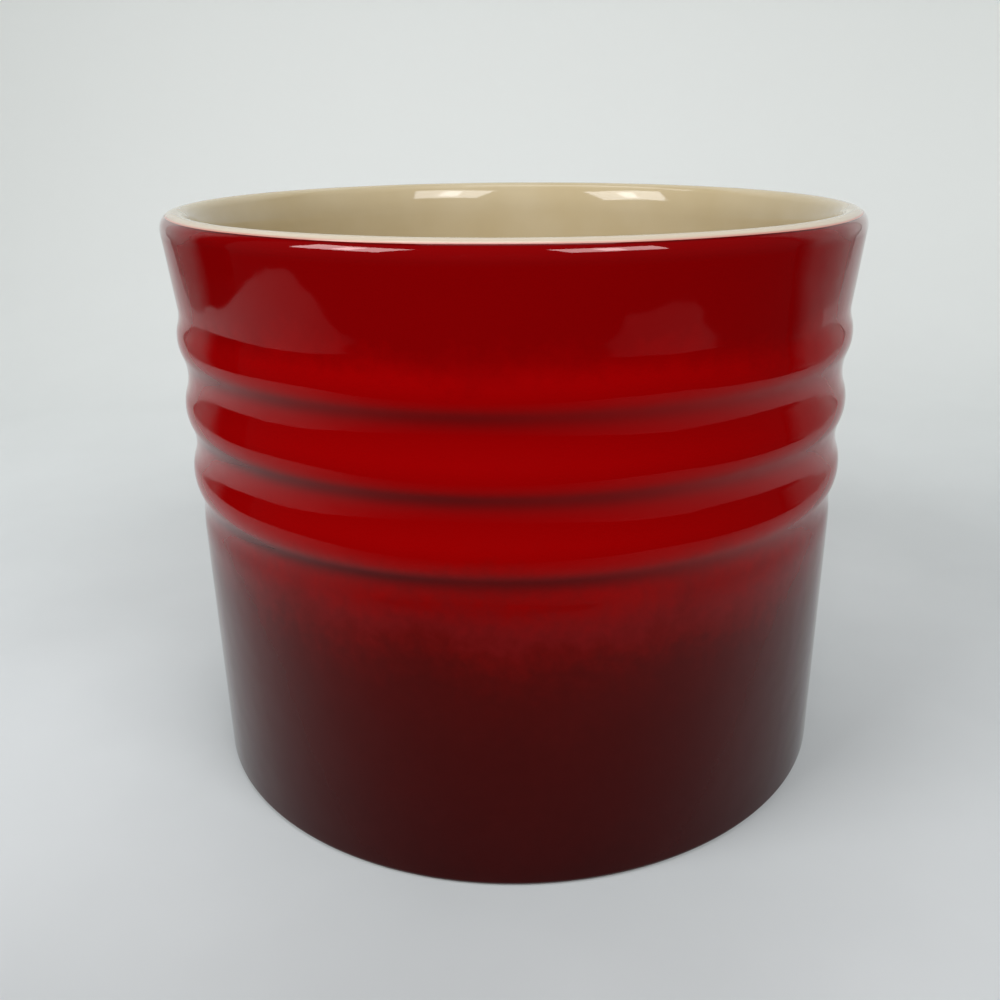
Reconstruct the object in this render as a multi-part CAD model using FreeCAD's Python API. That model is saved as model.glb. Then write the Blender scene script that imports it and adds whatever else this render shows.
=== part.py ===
import FreeCAD, Part
import math
import os
from collections import namedtuple

os.makedirs("parts", exist_ok=True)

# Lengths are in millimetres and angles in degrees. The crock rests on z = 0, +Z is up, and the
# Z axis runs up its middle.
crock_height = 147.3
wall_radius = 86.9
wall_thickness = 7.0
glaze_thickness = 0.6

# Flared collar that ends in a rounded lip. It sweeps out of a neck as wide as the plain wall, and
# inside the lip the mouth sweeps down to the upright wall.
rim_overhang = 1.8
lip_rounding = 3.7
collar_height = 23.2
neck_sweep = 10.4
mouth_sweep = 16.0

# Raised rings under the neck: rounded crests, with rounded valleys between them.
ring_count = 3
ring_pitch = 17.25
crest_rise = 1.05
crest_rounding = 9.7
valley_depth = 0.5
wall_bend = 40.0

# Foot: the wall rounds under to a bare ring round a shallow recess.
foot_rounding = 1.5
foot_ring_width = 9.5
foot_edge_bevel = 0.5
recess_height = 2.4
floor_thickness = 6.4
floor_fillet = 12.0

# Where a coat of glaze ends on a rounding, from level.
foot_glaze_angle = 55.0
lip_glaze_angle = 50.0

inside_radius = wall_radius - wall_thickness
crest_radius = wall_radius + crest_rise
valley_radius = wall_radius - valley_depth
floor_height = recess_height + glaze_thickness + floor_thickness + glaze_thickness

Round = namedtuple("Round", "centre radius side")


def spot(radius, height):
    """A point of the half section, which lies in the XZ plane."""
    return FreeCAD.Vector(radius, 0, height)


def bulge(reach, height, radius):
    """A rounding of the outside that stands upright at this reach, with its centre in the wall."""
    return Round(spot(reach - radius, height), radius, 1)


def hollow(reach, height, radius):
    """A rounding of the outside that stands upright at this reach, with its centre in the air."""
    return Round(spot(reach + radius, height), radius, -1)


def rise_between(step, both_radii):
    """Height between the upright spots of a bulge and a hollow that run into each other."""
    return math.sqrt((both_radii + both_radii - step) * step)


def wave_radii(step, rise):
    """Sum of the radii of a bulge and a hollow with this step and rise between them."""
    return (step * step + rise * rise) / (step + step)


def outside_rounds():
    """The roundings from the head of the plain wall up to the neck, each touching the next."""
    crest_step = crest_rise + valley_depth
    valley_rounding = wave_radii(crest_step, ring_pitch / 2) - crest_rounding
    neck_height = crock_height - collar_height
    top_crest = neck_height - rise_between(crest_rise, crest_rounding + neck_sweep)
    lowest_valley = top_crest - (ring_count - 1) * ring_pitch - ring_pitch / 2
    wall_head = lowest_valley - rise_between(valley_depth, wall_bend + valley_rounding)
    rounds = [bulge(wall_radius, wall_head, wall_bend)]
    for ring in range(ring_count):
        valley_height = lowest_valley + ring * ring_pitch
        rounds.append(hollow(valley_radius, valley_height, valley_rounding))
        rounds.append(bulge(crest_radius, valley_height + ring_pitch / 2, crest_rounding))
    rounds.append(hollow(wall_radius, neck_height, neck_sweep))
    return rounds


rounds = outside_rounds()
foot = bulge(wall_radius, foot_rounding, foot_rounding)
lip = bulge(wall_radius + rim_overhang, crock_height - lip_rounding, lip_rounding)


def mouth_round():
    """The mouth's rounding, which touches the lip from inside it and ends upright on the wall."""
    centre_gap = mouth_sweep - lip_rounding
    outward = inside_radius + mouth_sweep - lip.centre.x
    drop = math.sqrt(centre_gap * centre_gap - outward * outward)
    return Round(spot(lip.centre.x + outward, lip.centre.z - drop), mouth_sweep, 1)


mouth = mouth_round()
floor_centre = spot(inside_radius - floor_fillet, floor_height + floor_fillet)


def line(start, end):
    return Part.LineSegment(start, end).toShape()


def arc(centre, start, end):
    """The shorter arc between two spots at one distance from its centre."""
    reach = (start - centre).Length
    way = (start - centre) + (end - centre)
    return Part.Arc(start, centre + way * (reach / way.Length), end).toShape()


def spot_on_arc(centre, radius, angle):
    turn = math.radians(angle)
    return spot(centre.x + radius * math.cos(turn), centre.z + radius * math.sin(turn))


def radius_under(rounding, depth):
    """A rounding's radius under the glazed surface: a bulge gets smaller and a hollow larger, so a
    coat between two depths is equally thick all along."""
    return rounding.radius - rounding.side * depth


def upright_spot(rounding, depth):
    reach = rounding.side * radius_under(rounding, depth)
    return spot(rounding.centre.x + reach, rounding.centre.z)


def touching_spot(low, high, depth):
    """Where a bulge and a hollow run into each other."""
    way = high.centre - low.centre
    return low.centre + way * (radius_under(low, depth) / (low.radius + high.radius))


def collar_lean():
    """Lean from upright of the straight flare, which touches the neck's hollow and the lip."""
    neck = rounds[-1]
    way = lip.centre - neck.centre
    cross_angle = math.asin((neck.radius + lip.radius) / way.Length)
    return 90 - math.degrees(math.atan2(way.z, way.x) - cross_angle)


def ring_edges(depth, collar_foot):
    """The arcs from the plain wall, over the rings, to the foot of the collar."""
    spots = [upright_spot(rounds[0], depth)]
    for low, high in zip(rounds, rounds[1:]):
        spots.append(touching_spot(low, high, depth))
    spots.append(collar_foot)
    edges = []
    for rounding, start, end in zip(rounds, spots, spots[1:]):
        edges.append(arc(rounding.centre, start, end))
    return edges


def outside_edges(depth):
    """The outside from the foot up to the lip's colour line, this deep under the glazed surface."""
    neck = rounds[-1]
    lean = collar_lean()
    toe = spot_on_arc(foot.centre, radius_under(foot, depth), -foot_glaze_angle)
    collar_foot = spot_on_arc(neck.centre, radius_under(neck, depth), 180 - lean)
    collar_head = spot_on_arc(lip.centre, radius_under(lip, depth), -lean)
    colour_line = spot_on_arc(lip.centre, radius_under(lip, depth), lip_glaze_angle)
    wall_foot = upright_spot(foot, depth)
    edges = [arc(foot.centre, toe, wall_foot), line(wall_foot, upright_spot(rounds[0], depth))]
    edges += ring_edges(depth, collar_foot)
    edges += [line(collar_foot, collar_head), arc(lip.centre, collar_head, colour_line)]
    return edges


def inside_edges(depth):
    """From the lip's colour line over the lip and down to the middle of the floor, this deep under
    the glazed surface."""
    wall_reach = inside_radius + depth
    colour_line = spot_on_arc(lip.centre, radius_under(lip, depth), lip_glaze_angle)
    inward = lip.centre - mouth.centre
    mouth_head = lip.centre + inward * (radius_under(lip, depth) / inward.Length)
    wall_head = spot(wall_reach, mouth.centre.z)
    wall_foot = spot(wall_reach, floor_centre.z)
    floor_edge = spot(floor_centre.x, floor_height - depth)
    return [
        arc(lip.centre, colour_line, mouth_head),
        arc(mouth.centre, mouth_head, wall_head),
        line(wall_head, wall_foot),
        arc(floor_centre, wall_foot, floor_edge),
        line(floor_edge, spot(0, floor_height - depth)),
    ]


def coat_end(rounding, angle):
    """The line across a coat where it ends on a rounding."""
    clay_radius = radius_under(rounding, glaze_thickness)
    clay_spot = spot_on_arc(rounding.centre, clay_radius, angle)
    return line(clay_spot, spot_on_arc(rounding.centre, rounding.radius, angle))


def turned(edges):
    """The solid that a closed half section sweeps, going once round the Z axis."""
    wire = Part.Wire(Part.__sortEdges__(edges))
    return Part.Face(wire).revolve(FreeCAD.Vector(0, 0, 0), FreeCAD.Vector(0, 0, 1), 360)


# Outer edge of the bare foot, and the inner edge of its ring.
heel = spot_on_arc(foot.centre, radius_under(foot, glaze_thickness), -foot_glaze_angle)
recess_radius = heel.x - foot_ring_width


def make_stoneware_body():
    """Fired clay: the wall, the floor and the bare foot ring."""
    recess_ceiling = recess_height + glaze_thickness
    path = [
        heel,
        spot(heel.x, foot_edge_bevel),
        spot(heel.x - foot_edge_bevel, 0),
        spot(recess_radius + foot_edge_bevel, 0),
        spot(recess_radius, foot_edge_bevel),
        spot(recess_radius, recess_ceiling),
        spot(0, recess_ceiling),
        spot(0, floor_height - glaze_thickness),
    ]
    underside = [line(start, end) for start, end in zip(path, path[1:])]
    return turned(outside_edges(glaze_thickness) + inside_edges(glaze_thickness) + underside)


def make_outside_glaze():
    """Coat on the outside, from just above the foot to the colour line on the lip."""
    ends = [coat_end(foot, -foot_glaze_angle), coat_end(lip, lip_glaze_angle)]
    return turned(outside_edges(0) + outside_edges(glaze_thickness) + ends)


def make_inside_glaze():
    """Coat over the lip, the inside wall and the floor."""
    middle = line(spot(0, floor_height - glaze_thickness), spot(0, floor_height))
    ends = [coat_end(lip, lip_glaze_angle), middle]
    return turned(inside_edges(0) + inside_edges(glaze_thickness) + ends)


def make_base_glaze():
    """Coat in the recess under the floor, inside the bare foot ring."""
    return Part.makeCylinder(recess_radius, glaze_thickness, spot(0, recess_height))


makers = {
    "stoneware_body": make_stoneware_body,
    "outside_glaze": make_outside_glaze,
    "inside_glaze": make_inside_glaze,
    "base_glaze": make_base_glaze,
}
for node, make in makers.items():
    make().exportStep("parts/" + node + ".step")
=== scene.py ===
import math
from collections import namedtuple

import bpy
import numpy as np
from mathutils import Matrix, Vector


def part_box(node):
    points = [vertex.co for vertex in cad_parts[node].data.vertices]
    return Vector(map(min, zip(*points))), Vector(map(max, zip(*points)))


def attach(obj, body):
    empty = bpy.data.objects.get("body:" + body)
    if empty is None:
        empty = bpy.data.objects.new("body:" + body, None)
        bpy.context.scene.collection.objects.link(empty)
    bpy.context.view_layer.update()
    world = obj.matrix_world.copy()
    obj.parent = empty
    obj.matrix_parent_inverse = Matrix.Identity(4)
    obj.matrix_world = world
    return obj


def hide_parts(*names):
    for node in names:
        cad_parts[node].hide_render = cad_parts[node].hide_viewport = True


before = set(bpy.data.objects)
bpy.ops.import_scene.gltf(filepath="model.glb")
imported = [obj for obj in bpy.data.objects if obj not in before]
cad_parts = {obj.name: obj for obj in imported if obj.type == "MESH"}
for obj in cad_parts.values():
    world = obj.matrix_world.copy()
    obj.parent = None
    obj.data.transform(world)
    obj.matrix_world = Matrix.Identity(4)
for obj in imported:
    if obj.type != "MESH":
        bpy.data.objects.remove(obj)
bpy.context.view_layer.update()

# Sizes are in metres and angles in degrees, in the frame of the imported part: the crock rests on
# z = 0, and the Z axis runs up its middle.
mm = 0.001

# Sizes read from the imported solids.
rim_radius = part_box("outside_glaze")[1].x
crock_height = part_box("inside_glaze")[1].z
recess_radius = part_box("base_glaze")[1].x
recess_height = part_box("base_glaze")[0].z
recess_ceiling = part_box("base_glaze")[1].z
glaze_thickness = recess_ceiling - recess_height
floor_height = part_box("inside_glaze")[0].z + glaze_thickness

# Wall, lip and rings, as the solids have them.
wall_radius = 86.9 * mm
wall_thickness = 7 * mm
lip_rounding = 3.7 * mm
collar_height = 23.2 * mm
neck_sweep = 10.4 * mm
ring_count = 3
ring_pitch = 17.25 * mm
crest_rise = 1.05 * mm
crest_rounding = 9.7 * mm
valley_depth = 0.5 * mm
wall_bend = 40 * mm
foot_rounding = 1.5 * mm
foot_edge_bevel = 0.5 * mm
floor_fillet = 12 * mm
mouth_sweep = 16 * mm
foot_glaze_angle = 55
lip_glaze_angle = 50

# Hand-turned unevenness: how far the wall stands in from a true circle at most, how far the rings
# wander up and down, and how far the ends of the glaze wander round their roundings.
out_of_round = 0.16 * mm
ring_wander = 0.35 * mm
glaze_line_wander = 2.5

# Waves round the crock, each a count of waves and a turn in radians. The wall's sway also turns by its
# third number from the foot to the rim. The rings' wander dies out towards the axis with the power.
wall_sway = ((2, 0, 3), (3, 1.3, -5))
ring_waves = ((1, 0.9), (2, 2.6), (3, 0.3))
ring_wander_power = 8
colour_line_waves = ((2, 0.4), (5, 1.9), (11, 0.2))
glaze_foot_waves = ((3, 2.2), (7, 0.5), (13, 1.1))
weak_band_wave = (1, 2.1)

# Spacing of the points along a section: on the rings, on the lip and the foot, on straight runs, and
# where a glaze lies against the clay. Then the count of points round the crock, where they lie in
# radians, and the angle from which an edge stays sharp.
ring_spacing = 0.6 * mm
edge_spacing = 0.2 * mm
straight_spacing = 3 * mm
hidden_spacing = 3 * mm
columns = 360
around = np.linspace(0, 2 * np.pi, columns, endpoint=False)
crease_angle = 40

crest_radius = wall_radius + crest_rise
valley_radius = wall_radius - valley_depth

Round = namedtuple("Round", "centre radius side")


def waves(*terms):
    """The mean of some sines round the crock, between -1 and 1. Each term is a count of waves and a
    turn in radians."""
    return sum(np.sin(count * around + turn) for count, turn in terms) / len(terms)


def arc(centre, radius, first, last, spacing):
    """Section points at one distance from a centre, their angle going evenly from first to last.
    Either angle may change round the crock, so the points fill a grid of section by azimuth."""
    start = np.radians(first) + 0 * around
    turn = np.radians(last) + 0 * around - start
    count = math.ceil(radius * np.abs(turn).max() / spacing) + 1
    angle = start + turn * np.linspace(0, 1, count)[:, None]
    return np.stack([centre[0] + radius * np.cos(angle), centre[1] + radius * np.sin(angle)])


def straight(start, end):
    """Section points spread evenly from one point of radius and height to another. Either point may
    change round the crock."""
    start = np.reshape(start, (2, 1, -1)) + 0 * around
    way = np.reshape(end, (2, 1, -1)) - start
    count = math.ceil(np.hypot(*way).max() / straight_spacing) + 1
    return start + way * np.linspace(0, 1, count)[:, None]


def joined(*stretches):
    """Stretches of a section one after another, with each shared point kept once."""
    return np.concatenate([stretches[0]] + [s[:, 1:] for s in stretches[1:]], axis=1)


def rise_between(step, both_radii):
    """Height between the upright spots of a bulge and a hollow that run into each other: the upright
    side of the triangle between their centres, whose long side is the sum of their radii and whose
    level side is shorter than that by the step."""
    return math.sqrt((2 * both_radii - step) * step)


def outside_rounds():
    """The roundings from the plain wall up to the neck, each touching the next. The side is 1 for a
    bulge, whose centre lies in the wall, and -1 for a hollow."""
    crest_step = crest_rise + valley_depth
    both_radii = (crest_step**2 + (ring_pitch / 2) ** 2) / (2 * crest_step)
    valley_rounding = both_radii - crest_rounding
    neck_height = crock_height - collar_height
    top_crest = neck_height - rise_between(crest_rise, crest_rounding + neck_sweep)
    low_valley = top_crest - (ring_count - 0.5) * ring_pitch
    wall_head = low_valley - rise_between(valley_depth, wall_bend + valley_rounding)
    rounds = [Round((wall_radius - wall_bend, wall_head), wall_bend, 1)]
    for ring in range(ring_count):
        height = low_valley + ring * ring_pitch
        rounds.append(Round((valley_radius + valley_rounding, height), valley_rounding, -1))
        crest = (crest_radius - crest_rounding, height + ring_pitch / 2)
        rounds.append(Round(crest, crest_rounding, 1))
    rounds.append(Round((wall_radius + neck_sweep, neck_height), neck_sweep, -1))
    return rounds


rounds = outside_rounds()
crest_heights = [crest.centre[1] for crest in rounds[2:-1:2]]
foot_centre = (wall_radius - foot_rounding, foot_rounding)
lip_centre = (rim_radius - lip_rounding, crock_height - lip_rounding)
inside_radius = wall_radius - wall_thickness
mouth_gap = mouth_sweep - lip_rounding
mouth_out = inside_radius + mouth_sweep - lip_centre[0]
mouth_turn = math.degrees(math.acos(mouth_out / mouth_gap))
mouth_centre = (
    lip_centre[0] + mouth_out,
    lip_centre[1] - mouth_gap * math.sin(math.radians(mouth_turn)),
)
floor_centre = (inside_radius - floor_fillet, floor_height + floor_fillet)
colour_line = lip_glaze_angle + glaze_line_wander * waves(*colour_line_waves)
glaze_foot = -foot_glaze_angle + glaze_line_wander * waves(*glaze_foot_waves)


def collar_lean():
    """Lean from upright of the flare, the line that crosses between the neck's hollow and the lip and
    touches both: it turns off the way between their centres by the angle whose sine is the sum of
    their radii over that way."""
    neck = rounds[-1]
    way = np.subtract(lip_centre, neck.centre)
    cross_angle = math.asin((neck.radius + lip_rounding) / np.hypot(*way))
    return 90 - math.degrees(math.atan2(way[1], way[0]) - cross_angle)


def meeting_angles():
    """Angle at which each rounding runs into the one above it, seen from the bulge's centre."""
    angles = [0]
    for low, high in zip(rounds, rounds[1:]):
        way = np.subtract(high.centre, low.centre) * low.side
        angles.append(math.degrees(math.atan2(way[1], way[0])))
    return angles + [-collar_lean()]


def outside_section(depth, round_spacing, end_spacing):
    """The outside from the glaze's end at the foot up to the colour line on the lip, at a depth
    under the glazed surface: arcs that share centres at every depth, joined by straight runs."""
    lean = collar_lean()
    angles = meeting_angles()
    wall_reach = wall_radius - depth
    wall_head = rounds[0].centre[1]
    foot = arc(foot_centre, foot_rounding - depth, glaze_foot, 0, end_spacing)
    wall = straight((wall_reach, foot_rounding), (wall_reach, wall_head))
    rings = []
    for rounding, low, high in zip(rounds, angles, angles[1:]):
        turn = 0 if rounding.side > 0 else 180
        radius = rounding.radius - rounding.side * depth
        rings.append(arc(rounding.centre, radius, turn + low, turn + high, round_spacing))
    lip = arc(lip_centre, lip_rounding - depth, -lean, colour_line, end_spacing)
    collar = straight(rings[-1][:, -1], lip[:, 0])
    return joined(foot, wall, *rings, collar, lip)


def inside_section(depth, round_spacing, end_spacing):
    """From the colour line over the lip, down the mouth's sweep and the upright inside wall, round the
    corner and along the floor to its middle, at a depth under the glazed surface."""
    lip = arc(lip_centre, lip_rounding - depth, colour_line, 180 - mouth_turn, end_spacing)
    mouth = arc(mouth_centre, mouth_sweep - depth, 180 - mouth_turn, 180, round_spacing)
    corner = arc(floor_centre, floor_fillet + depth, 0, -90, round_spacing)
    wall = straight(mouth[:, -1], corner[:, 0])
    ground = straight(corner[:, -1], (0, floor_height - depth))
    return joined(lip, mouth, wall, corner, ground)


def polyline(*corners):
    """Straight runs from each point of radius and height to the next one."""
    return joined(*[straight(start, end) for start, end in zip(corners, corners[1:])])


def foot_section():
    """Under the foot: from the middle of the recess out along its ceiling, down to the flat ring,
    which has a small bevel on both edges, and up to the end of the outside glaze."""
    heel = arc(foot_centre, foot_rounding - glaze_thickness, glaze_foot, 0, hidden_spacing)[:, 0]
    reach = heel[0].min()
    return polyline(
        (0, recess_ceiling),
        (recess_radius, recess_ceiling),
        (recess_radius, foot_edge_bevel),
        (recess_radius + foot_edge_bevel, 0),
        (reach - foot_edge_bevel, 0),
        (reach, foot_edge_bevel),
        heel,
    )


def hand_turned(section):
    """The section a little out of true: it stands in by slow waves round the crock that turn with
    height, and the rings rise and sink in waves that die out at the rim, the foot and the axis."""
    radius, height = section
    share = np.clip(height / crock_height, 0, 1)
    sway = sum(np.sin(count * around + turn + twist * share) for count, turn, twist in wall_sway)
    inward = out_of_round * (1 - sway / len(wall_sway)) / 2
    reach = np.minimum(1, radius / inside_radius)
    dying_out = np.sin(np.pi * share) ** 2 * reach**ring_wander_power
    lift = ring_wander * waves(*ring_waves) * dying_out
    return np.stack([radius - inward * reach, height + lift])


def in_mesh_order(grid, closed):
    """A grid by section and azimuth as a list: all its rings when the section is closed, or else the
    rings between its ends and then one point for each end, on the axis."""
    if closed:
        return grid.reshape(-1, *grid.shape[2:])
    return np.concatenate([grid[1:-1].reshape(-1, *grid.shape[2:]), grid[[0, -1], 0]])


def turned_mesh(name, section, closed):
    """A skin swept round the Z axis: the section's radius and height at each azimuth become x, y and
    z. A closed section wraps on to itself. An open one runs from the axis under the piece to the axis
    above it, and a fan of triangles closes each end."""
    radius, height = hand_turned(section)
    points = np.stack([radius * np.cos(around), radius * np.sin(around), height], axis=-1)
    rings = len(points) if closed else len(points) - 2
    index = np.arange(rings * columns).reshape(rings, columns)
    beside = np.roll(index, -1, axis=1)
    quads = np.stack([index, beside, np.roll(beside, -1, axis=0), np.roll(index, -1, axis=0)], axis=-1)
    faces = (quads if closed else quads[:-1]).reshape(-1, 4).tolist()
    if not closed:
        low = np.full(columns, index.size)
        high = low + 1
        faces += np.stack([low, beside[0], index[0]], axis=-1).tolist()
        faces += np.stack([high, index[-1], beside[-1]], axis=-1).tolist()
    mesh = bpy.data.meshes.new(name)
    mesh.from_pydata(in_mesh_order(points, closed), [], faces)
    return mesh


def added_piece(name, section, closed, node, slot, material, **fields):
    """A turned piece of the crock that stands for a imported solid, with fields of values over its
    section that its material reads."""
    mesh = turned_mesh(name, section, closed)
    mesh.materials.append(material)
    mesh.shade_smooth()
    mesh.set_sharp_from_angle(angle=math.radians(crease_angle))
    for field, values in fields.items():
        layer = mesh.attributes.new(field, "FLOAT", "POINT")
        layer.data.foreach_set("value", in_mesh_order(values, closed).astype(np.float32))
    piece = bpy.data.objects.new(name, mesh)
    bpy.context.scene.collection.objects.link(piece)
    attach(piece, "root")
    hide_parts(node)


def hex_colour(text):
    """An sRGB hex value as linear red, green and blue, with an alpha of 1."""
    channels = [int(text[place:place + 2], 16) / 255 for place in (1, 3, 5)]
    return [c / 12.92 if c <= 0.04045 else ((c + 0.055) / 1.055) ** 2.4 for c in channels] + [1]


def add(tree, kind, inputs=None, **settings):
    """A node of a kind with its settings. Each input takes a value, or a socket that it links to."""
    node = tree.nodes.new("ShaderNode" + kind)
    for name, value in settings.items():
        setattr(node, name, value)
    for name, value in (inputs or {}).items():
        if isinstance(value, bpy.types.NodeSocket):
            tree.links.new(value, node.inputs[name])
        else:
            node.inputs[name].default_value = value
    return node


def new_material(name):
    """A material without nodes, and its node tree."""
    material = bpy.data.materials.new(name)
    material.use_nodes = True
    material.node_tree.nodes.clear()
    return material, material.node_tree


def set_stops(ramp, stops):
    """Gives a colour ramp its stops: pairs of place and sRGB hex value."""
    elements = ramp.color_ramp.elements
    while len(elements) < len(stops):
        elements.new(1)
    for element, (place, colour) in zip(elements, stops):
        element.position = place
        element.color = hex_colour(colour)


# Sizes of the patterns in the glazes and the clay, how far the clouds and the flecks shift the fade up
# and down, and how deep the ripples and the grit are.
fade_cloud_size = 26 * mm
fade_cloud_reach = 3.5 * mm
fleck_size = 3.2 * mm
fleck_reach = 2.3 * mm
ripple_size = 9 * mm
ripple_depth = 0.08 * mm
grit_size = 0.7 * mm
grit_depth = 0.1 * mm

# Nearly all values of a noise lie between these two.
noise_low = 0.3
noise_high = 0.7

# A dark band under each ring, painted shade of the ring's underside together with glaze that
# gathered there, from the lowest ring up: how far below the crest, and how much it hides the red. Its
# band reaches this far up and down. On one side of the crock the band is weaker by the first share and
# wider by the second, and the power says how narrow that side is. The clouds in the glaze make the
# band weaker or stronger, down to the first factor and up to the second.
pool_and_shade_drops = (4.6 * mm, 3.7 * mm, 3.95 * mm)
pool_and_shade_strengths = (0.95, 0.86, 0.69)
pool_and_shade_top = 1.5 * mm
pool_and_shade_run = 2.3 * mm
pool_and_shade_thinning = 0.65
pool_and_shade_spread = 0.35
weak_band_power = 6
pool_and_shade_patches = (0.85, 1.1)
pool_and_shade_colour = "#4A0304"

# Along the lip from the colour line, each with its colour there: width of the red glaze's dark edge,
# of the blush on the cream one, and of the strip of painted light that makes the cream paler on the lip.
red_edge = (0.7 * mm, "#5A0203")
blush_edge = (0.8 * mm, "#DE9C8E")
lip_light_edge = (4.5 * mm, "#E0D1BC")

# Heights between which the clear top of the red glaze thickens towards the lip, and its full weight.
gloss_start = 142.3 * mm
gloss_full = 144.3 * mm
lip_gloss = 0.8

# Colour of the sprayed glaze by height in millimetres: nearly black at the foot, brown, then a fade
# into red. The last stop is painted shade: the collar, which leans out and faces down, darker.
glaze_fade_and_collar_shade = [
    (0, "#270202"),
    (10, "#2E0303"),
    (39, "#3B0605"),
    (51, "#440706"),
    (57, "#4E0706"),
    (63, "#600706"),
    (67, "#6B0D0E"),
    (71, "#770C0D"),
    (75, "#800808"),
    (83, "#950102"),
    (119, "#9A0002"),
    # Painted shade on the collar.
    (129, "#880002"),
]


def edged(tree, colour, width, edge_colour):
    """A colour that turns into another one along the lip, smoothly over a width at the colour line."""
    off_line = add(tree, "Attribute", attribute_name="off_line").outputs["Fac"]
    inset = add(tree, "MapRange", {
        "Value": off_line, "From Max": width}, interpolation_type="SMOOTHSTEP")
    mix = add(tree, "MixRGB", {
        "Fac": inset.outputs["Result"], "Color1": hex_colour(edge_colour), "Color2": colour})
    return mix.outputs["Color"]


def fired_ripple(tree, place):
    """The normals of a fired glaze, which is never quite flat: a bump of slow, shallow ripples."""
    ripple = add(tree, "TexNoise", {"Vector": place, "Scale": 1 / ripple_size, "Detail": 1})
    bump = add(tree, "Bump", {"Height": ripple.outputs["Fac"], "Distance": ripple_depth})
    return bump.outputs["Normal"]


def red_glaze():
    """Sprayed stoneware glaze, fired glossy: clear wet-looking gloss over a red that was sprayed
    darker towards the foot, so the fade is cloudy and flecked. It is dark in a band under each ring,
    painted shade there together with gathered glaze, and at its edge on the lip. On the collar it is
    darker with painted shade. It shines most on the lip."""
    material, tree = new_material("red_stoneware_glaze")
    place = add(tree, "TexCoord").outputs["Object"]
    height = add(tree, "SeparateXYZ", {"Vector": place}).outputs["Z"]
    cloud = add(tree, "TexNoise", {"Vector": place, "Scale": 1 / fade_cloud_size, "Detail": 3})
    fleck = add(tree, "TexNoise", {
        "Vector": place, "Scale": 1 / fleck_size, "Detail": 3, "Roughness": 0.6})
    level = height
    for pattern, reach in ((cloud, fade_cloud_reach), (fleck, fleck_reach)):
        lift = add(tree, "MapRange", {
            "Value": pattern.outputs["Fac"], "From Min": noise_low, "From Max": noise_high,
            "To Min": -reach, "To Max": reach})
        level = add(tree, "Math", {0: level, 1: lift.outputs["Result"]}).outputs[0]
    share = add(tree, "Math", {0: level, 1: crock_height}, operation="DIVIDE")
    fade = add(tree, "ValToRGB", {"Fac": share.outputs[0]})
    set_stops(fade, [(stop * mm / crock_height, tone) for stop, tone in glaze_fade_and_collar_shade])
    # Painted shade under each ring, together with glaze gathered there, hides the red in a band.
    pool_and_shade_amount = add(tree, "Attribute", attribute_name="pooling").outputs["Fac"]
    patchy = add(tree, "MapRange", {
        "Value": cloud.outputs["Fac"], "From Min": noise_low, "From Max": noise_high,
        "To Min": pool_and_shade_patches[0], "To Max": pool_and_shade_patches[1]})
    pool_and_shade_amount = add(tree, "Math", {0: pool_and_shade_amount, 1: patchy.outputs["Result"]}, operation="MULTIPLY")
    colour = add(tree, "MixRGB", {
        "Fac": pool_and_shade_amount.outputs[0], "Color1": fade.outputs["Color"], "Color2": hex_colour(pool_and_shade_colour)})
    normal = fired_ripple(tree, place)
    gloss = add(tree, "MapRange", {
        "Value": height, "From Min": gloss_start, "From Max": gloss_full, "To Max": lip_gloss})
    shader = add(tree, "BsdfPrincipled", {
        "Base Color": edged(tree, colour.outputs["Color"], *red_edge), "Roughness": 0.05, "IOR": 1.45,
        "Specular IOR Level": 0.30, "Specular Tint": hex_colour("#FF7E7C"),
        "Coat Weight": gloss.outputs["Result"], "Coat IOR": 1.5, "Coat Roughness": 0.03,
        "Normal": normal, "Coat Normal": normal})
    add(tree, "OutputMaterial", {"Surface": shader.outputs["BSDF"]})
    return material


def cream_glaze():
    """Cream stoneware glaze, poured and fired glossy: an even warm white with faint clouds, painted
    light that makes it paler on the lip, and a thin pink blush where it runs into the red."""
    material, tree = new_material("cream_stoneware_glaze")
    place = add(tree, "TexCoord").outputs["Object"]
    cloud = add(tree, "TexNoise", {"Vector": place, "Scale": 1 / fade_cloud_size, "Detail": 3})
    tone = add(tree, "ValToRGB", {"Fac": cloud.outputs["Fac"]})
    set_stops(tone, [(0.35, "#CBB993"), (0.65, "#D1C19F")])
    # Painted light: the cream paler along the lip.
    colour = edged(tree, tone.outputs["Color"], *lip_light_edge)
    shader = add(tree, "BsdfPrincipled", {
        "Base Color": edged(tree, colour, *blush_edge), "Roughness": 0.06, "IOR": 1.5,
        "Normal": fired_ripple(tree, place)})
    add(tree, "OutputMaterial", {"Surface": shader.outputs["BSDF"]})
    return material


def brown_glaze():
    """The same sprayed glaze at its darkest, in the recess under the foot."""
    material, tree = new_material("brown_stoneware_glaze")
    place = add(tree, "TexCoord").outputs["Object"]
    cloud = add(tree, "TexNoise", {"Vector": place, "Scale": 1 / fade_cloud_size, "Detail": 4})
    tone = add(tree, "ValToRGB", {"Fac": cloud.outputs["Fac"]})
    set_stops(tone, [(noise_low, "#2A0C0A"), (noise_high, "#431512")])
    shader = add(tree, "BsdfPrincipled", {
        "Base Color": tone.outputs["Color"], "Roughness": 0.08, "IOR": 1.5})
    add(tree, "OutputMaterial", {"Surface": shader.outputs["BSDF"]})
    return material


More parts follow.
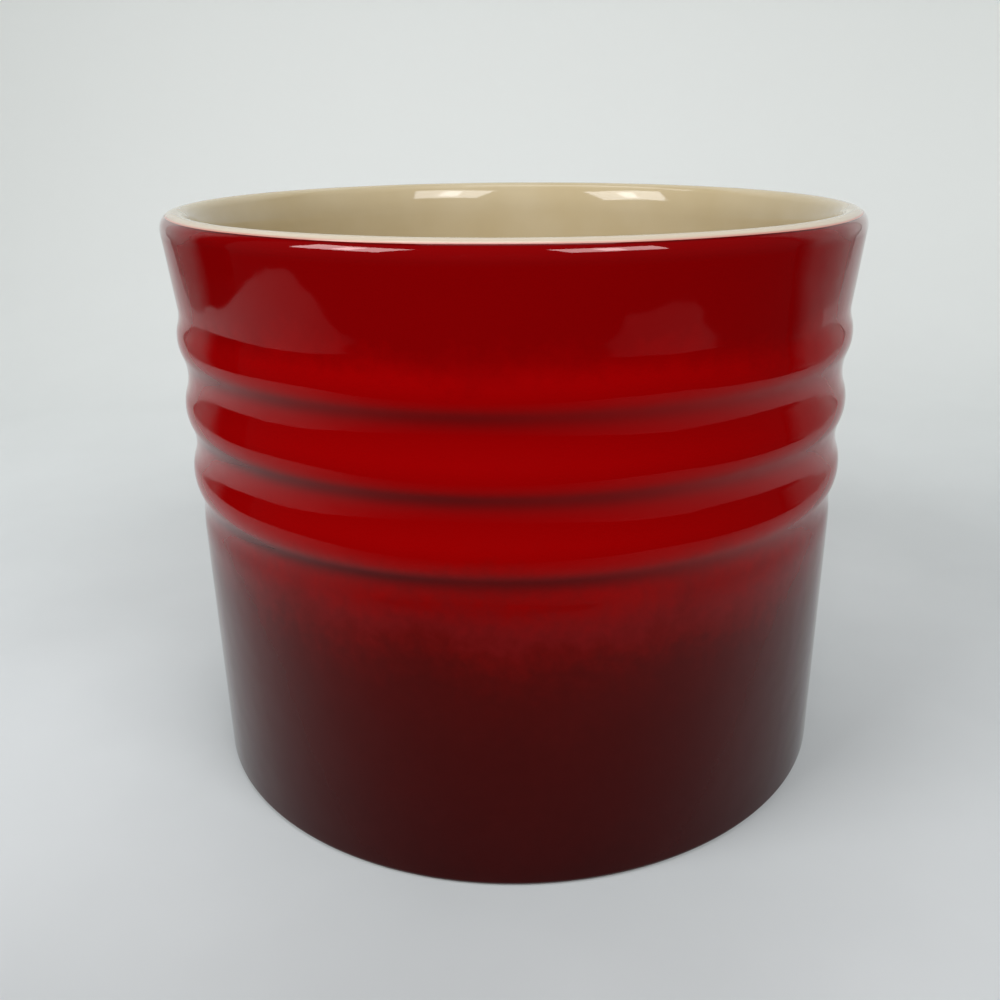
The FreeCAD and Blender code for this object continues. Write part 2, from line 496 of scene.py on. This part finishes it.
def bare_stoneware():
    """Fired stoneware with the glaze wiped off: matt buff clay with fine dark and pale grit."""
    material, tree = new_material("bare_stoneware")
    place = add(tree, "TexCoord").outputs["Object"]
    grit = add(tree, "TexNoise", {"Vector": place, "Scale": 1 / grit_size, "Detail": 4})
    tone = add(tree, "ValToRGB", {"Fac": grit.outputs["Fac"]})
    set_stops(tone, [(0.32, "#9C8B72"), (0.45, "#CDBFA5"), (0.7, "#D9CCB4")])
    bump = add(tree, "Bump", {"Height": grit.outputs["Fac"], "Distance": grit_depth})
    shader = add(tree, "BsdfPrincipled", {
        "Base Color": tone.outputs["Color"], "Roughness": 0.85, "Normal": bump.outputs["Normal"]})
    add(tree, "OutputMaterial", {"Surface": shader.outputs["BSDF"]})
    return material


def pooling(section):
    """How far the dark band under each ring hides the red, painted shade of the ring's underside
    together with gathered glaze: under each ring's crest, a bell curve of the height that is narrower
    above its middle than below it. A bump round the crock spreads and thins it there."""
    weak_band_side = ((1 + waves(weak_band_wave)) / 2) ** weak_band_power
    below = np.subtract.outer(np.subtract(crest_heights, pool_and_shade_drops), section[1])
    width = np.where(below < 0, pool_and_shade_top, pool_and_shade_run) * (1 + pool_and_shade_spread * weak_band_side)
    bands = np.tensordot(pool_and_shade_strengths, np.exp(-((below / width) ** 2)), axes=1)
    return bands * (1 - pool_and_shade_thinning * weak_band_side)


def off_line(section):
    """How far each point lies along the lip from the colour line: the lip's rounding times the angle
    between them, seen from the lip's centre."""
    angle = np.arctan2(section[1] - lip_centre[1], section[0] - lip_centre[0])
    return lip_rounding * np.abs(angle - np.radians(colour_line))


def make_crock():
    """The four pieces of the crock. A coat's section goes along its hidden side and back along its
    glazed one, or the other way round, so that its skin faces outwards."""
    shown = (ring_spacing, edge_spacing)
    hidden = (hidden_spacing, hidden_spacing)
    outside_back = outside_section(glaze_thickness, *hidden)
    inside_back = inside_section(glaze_thickness, *hidden)
    outside = np.concatenate([outside_section(0, *shown), outside_back[:, ::-1]], axis=1)
    inside = np.concatenate([inside_back[:, ::-1], inside_section(0, *shown)], axis=1)
    clay = joined(foot_section(), outside_back, inside_back)
    disc = polyline(
        (0, recess_height),
        (recess_radius, recess_height),
        (recess_radius, recess_ceiling),
        (0, recess_ceiling),
    )
    # The red coat carries the band of painted shade under its rings.
    added_piece(
        "outside_glaze_coat", outside, True, "outside_glaze", "red_glaze", red_glaze(),
        pooling=pooling(outside), off_line=off_line(outside))
    added_piece(
        "inside_glaze_coat", inside, False, "inside_glaze", "cream_glaze", cream_glaze(),
        off_line=off_line(inside))
    added_piece("clay_body", clay, False, "stoneware_body", "stoneware", bare_stoneware())
    added_piece("base_glaze_coat", disc, False, "base_glaze", "brown_glaze", brown_glaze())


make_crock()

# Stage: matt paper that sweeps up behind the crock, a sheet of it laid askew under the crock and in
# front of it, and at each side a grey board, which is folded on to the floor under the paper. On the
# right a grey card covers the front corner of the sweep. The sheet's two edges go from front to back.
sweep_foot = 0.32
sweep_radius = 0.30
sweep_height = 0.95
sweep_reach = 0.525
sweep_spread = 0.09
sweep_start = 0.13
sweep_skew = 0.12
sweep_curve_points = 25
sheet_left = [(-0.46, -0.25), (-0.525, -0.205), (-0.58, -0.11), (-0.555, -0.04), (-0.54, 0.05)]
sheet_right = [(0.225, -0.362), (0.33, -0.325), (0.366, -0.29), (0.36, -0.25), (0.375, -0.15)]
sheet_back_left = -0.535
sheet_back_right = 0.425
board_reach = 0.62
board_fold = 0.45
board_start = 0.0
board_end = 0.9
board_height = 1.0
board_under = -0.5 * mm
corner_back = 0.2
corner_over = 0.3 * mm
paper_mottle = 60 * mm

# The shaded part of the paper in front of the crock: its middle, how far from there the shade is full
# and how far it reaches, and how much of the paper's colour it takes away.
shade_middle = (-0.10, -0.45, 0)
shade_core = 0.12
shade_end = 0.40
shade_depth = 0.9

# The boards carry painted shade towards the camera and upwards, and painted light that makes them
# nearly white at the back: where each starts and ends. The shades along the floor lie askew, like the
# sweep's front.
board_shade_full = 0.065
board_shade_clear = 0.20
board_light_back = (0.25, 0.55)
board_shade_full_height = 0.95
board_shade_clear_height = 0.20


def studio_paper():
    """Matt studio paper: a pale cool grey on the floor that gets paler up the sweep, with faint slow
    clouds, and a soft shade on the part in front of the crock."""
    material, tree = new_material("matt_studio_paper")
    place = add(tree, "TexCoord").outputs["Object"]
    depth = add(tree, "SeparateXYZ", {"Vector": place}).outputs["Y"]
    cloud = add(tree, "TexNoise", {"Vector": place, "Scale": 1 / paper_mottle, "Detail": 3})
    tone = add(tree, "ValToRGB", {"Fac": cloud.outputs["Fac"]})
    set_stops(tone, [(noise_low, "#DEE3E5"), (noise_high, "#E3E8EA")])
    paler = add(tree, "MapRange", {
        "Value": depth, "From Min": 0.0, "From Max": sweep_foot + sweep_radius})
    colour = add(tree, "MixRGB", {
        "Fac": paler.outputs["Result"], "Color1": tone.outputs["Color"],
        "Color2": hex_colour("#F1F4F2")})
    off = add(tree, "VectorMath", {0: place, 1: shade_middle}, operation="DISTANCE")
    shade = add(tree, "MapRange", {
        "Value": off.outputs["Value"], "From Min": shade_core, "From Max": shade_end,
        "To Min": shade_depth, "To Max": 0.0}, interpolation_type="SMOOTHSTEP")
    colour = add(tree, "MixRGB", {
        "Fac": shade.outputs["Result"], "Color1": colour.outputs["Color"],
        "Color2": hex_colour("#000000")})
    shader = add(tree, "BsdfPrincipled", {"Base Color": colour.outputs["Color"], "Roughness": 0.9})
    add(tree, "OutputMaterial", {"Surface": shader.outputs["BSDF"]})
    return material


def grey_board():
    """Matt grey card: a mid grey with a faint fibre mottle, with painted shade at its top and at its
    front edge, and painted light that makes it nearly white at the back."""
    material, tree = new_material("matt_grey_card")
    place = add(tree, "TexCoord").outputs["Object"]
    fibre = add(tree, "TexNoise", {"Vector": place, "Scale": 1 / paper_mottle, "Detail": 5})
    tone = add(tree, "ValToRGB", {"Fac": fibre.outputs["Fac"]})
    set_stops(tone, [(noise_low, "#B0B3B2"), (noise_high, "#B6B9B8")])
    # Painted shade towards the front edge, and painted light towards the back.
    back = add(tree, "VectorMath", {0: place, 1: (sweep_skew, 1, 0)}, operation="DOT_PRODUCT")
    pale = add(tree, "MapRange", {
        "Value": back.outputs["Value"], "From Min": board_shade_full, "From Max": board_shade_clear},
        interpolation_type="SMOOTHSTEP")
    white = add(tree, "MapRange", {
        "Value": back.outputs["Value"], "From Min": board_light_back[0], "From Max": board_light_back[1]})
    tone = add(tree, "MixRGB", {
        "Fac": white.outputs["Result"], "Color1": tone.outputs["Color"],
        "Color2": hex_colour("#EEF1EF")})
    # Painted shade towards the top.
    height = add(tree, "SeparateXYZ", {"Vector": place}).outputs["Z"]
    low = add(tree, "MapRange", {
        "Value": height, "From Min": board_shade_clear_height, "From Max": board_shade_full_height,
        "To Min": 1.0, "To Max": 0.0}, interpolation_type="SMOOTHSTEP")
    lit = add(tree, "Math", {
        0: pale.outputs["Result"], 1: low.outputs["Result"]}, operation="MULTIPLY")
    colour = add(tree, "MixRGB", {
        "Fac": lit.outputs[0], "Color1": hex_colour("#000000"), "Color2": tone.outputs["Color"]})
    shader = add(tree, "BsdfPrincipled", {"Base Color": colour.outputs["Color"], "Roughness": 0.9})
    add(tree, "OutputMaterial", {"Surface": shader.outputs["BSDF"]})
    return material


def paper_strip(name, left, right, material):
    """A strip of four-sided faces between two rows of points, one for each edge of the paper."""
    points = np.stack([left, right]).astype(float)
    index = np.arange(points[..., 0].size).reshape(2, -1)
    faces = np.stack([index[0, :-1], index[1, :-1], index[1, 1:], index[0, 1:]], axis=-1)
    mesh = bpy.data.meshes.new(name)
    mesh.from_pydata(points.reshape(-1, 3), [], faces.tolist())
    mesh.materials.append(material)
    mesh.shade_smooth()
    mesh.set_sharp_from_angle(angle=math.radians(crease_angle))
    strip = bpy.data.objects.new(name, mesh)
    bpy.context.scene.collection.objects.link(strip)


def sweep_front(x):
    """Where the sweep starts on the floor: a line that runs askew."""
    return (x, sweep_start - sweep_skew * x, 0)


def sweep_edge(side):
    """The sweep's edge at one side, -1 or 1: flat to its foot, then a quarter circle that spreads
    outwards, then upright."""
    turn = np.linspace(0, np.pi / 2, sweep_curve_points)
    across = side * (sweep_reach + sweep_spread * np.sin(turn))
    depth = sweep_foot + sweep_radius * np.sin(turn)
    height = sweep_radius * (1 - np.cos(turn))
    curve = np.stack([across, depth, height], axis=-1)
    top = (across[-1], depth[-1], sweep_height)
    return np.concatenate([[sweep_front(across[0])], curve, [top]])


def board_edge(side, y):
    """An edge of the board at one side, -1 or 1: along the floor, then upright."""
    fold = (side * board_reach, y, board_under)
    return [(side * board_fold, y, board_under), fold, (side * board_reach, y, board_height)]


def card_edge(y):
    """An edge of the card that covers the sweep's right front corner."""
    return [(board_fold, y, corner_over), (board_reach, y, corner_over)]


def make_stage():
    """The sweep, the uneven sheet under the crock, the boards and the card."""
    paper = studio_paper()
    card = grey_board()
    paper_strip("paper_sweep", sweep_edge(-1), sweep_edge(1), paper)
    left = [(x, y, 0) for x, y in sheet_left] + [sweep_front(sheet_back_left)]
    right = [(x, y, 0) for x, y in sheet_right] + [sweep_front(sheet_back_right)]
    paper_strip("paper_floor", left, right, paper)
    paper_strip("left_board", board_edge(-1, board_start), board_edge(-1, board_end), card)
    paper_strip("right_board", board_edge(1, board_end), board_edge(1, board_start), card)
    paper_strip("corner_card", card_edge(corner_back), card_edge(board_start), card)


make_stage()


# Lamps: where each one hangs, its width and height, and its radiance. They face the crock, apart from
# the backdrop's lamp, which faces its own target.
left_lamp = ((-0.777, -0.514, 0.86), 0.60, 0.43, 6.7)
right_lamp = ((0.472, -0.706, 0.93), 0.56, 0.40, 6.4)
left_bulb = ((-0.765, -0.506, 0.85), 0.12, 0.25, 6.0)
right_bulb = ((0.465, -0.695, 0.92), 0.12, 0.25, 6.0)
front_lamp = ((-0.1, -1.2, 0.5), 0.6, 0.6, 5.1)
top_lamp = ((0, 0.2, 1.6), 1.0, 0.8, 1.0)
backdrop_lamp = ((-0.3, 0.25, 1.1), 0.8, 0.2, 2.8)
backdrop_target = (-0.3, 0.62, 0.4)
surround_radiance = 0.05


def softbox(name, target, place, width, height, radiance):
    """A soft rectangular lamp that faces its target. Its power is its radiance times pi and its area."""
    lamp = bpy.data.lights.new(name, "AREA")
    lamp.shape = "RECTANGLE"
    lamp.size = width
    lamp.size_y = height
    lamp.energy = radiance * math.pi * width * height
    box = bpy.data.objects.new(name, lamp)
    box.location = place
    box.rotation_euler = (box.location - Vector(target)).to_track_quat("Z", "Y").to_euler()
    bpy.context.scene.collection.objects.link(box)
    return box


def make_light():
    """A softbox high on each side of the front, one in front, a weak one overhead, one for the backdrop
    and a dim even surround. The front one lights the glaze but leaves no highlight on it, and the
    bulbs in the side ones only brighten the middle of their highlights."""
    crock_middle = (0, 0, crock_height / 2)
    softbox("left_softbox", crock_middle, *left_lamp)
    softbox("right_softbox", crock_middle, *right_lamp)
    softbox("left_bulb", crock_middle, *left_bulb).visible_diffuse = False
    softbox("right_bulb", crock_middle, *right_bulb).visible_diffuse = False
    softbox("front_softbox", crock_middle, *front_lamp).visible_glossy = False
    softbox("top_softbox", crock_middle, *top_lamp)
    softbox("backdrop_softbox", backdrop_target, *backdrop_lamp)
    world = bpy.data.worlds.new("dim_surround")
    world.use_nodes = True
    tree = world.node_tree
    tree.nodes.clear()
    surround = add(tree, "Background", {"Color": hex_colour("#FFFFFF"), "Strength": surround_radiance})
    add(tree, "OutputWorld", {"Surface": surround.outputs["Background"]})
    bpy.context.scene.world = world


make_light()

# Camera: its place, how far it looks down, its roll, its lens and sensor in millimetres, the
# photograph's framing as a sideways shift, and how near it still sees things.
camera_place = (3.6 * mm, -270.3 * mm, 167.4 * mm)
camera_pitch = 21.03
camera_roll = -0.27
camera_lens = 35.64
camera_sensor = 36
camera_shift = -0.0302
camera_near = 10 * mm


def make_camera():
    """A camera at the photograph's viewing angle."""
    lens = bpy.data.cameras.new("photo_view")
    lens.lens = camera_lens
    lens.sensor_width = camera_sensor
    lens.shift_x = camera_shift
    lens.clip_start = camera_near
    camera = bpy.data.objects.new("photo_view", lens)
    camera.location = camera_place
    camera.rotation_mode = "XYZ"
    pitch = math.radians(90 - camera_pitch)
    turn = Matrix.Rotation(pitch, 4, "X") @ Matrix.Rotation(math.radians(camera_roll), 4, "Z")
    camera.rotation_euler = turn.to_euler()
    bpy.context.scene.collection.objects.link(camera)
    bpy.context.scene.camera = camera


make_camera()

bpy.context.scene.view_settings.view_transform = "Standard"
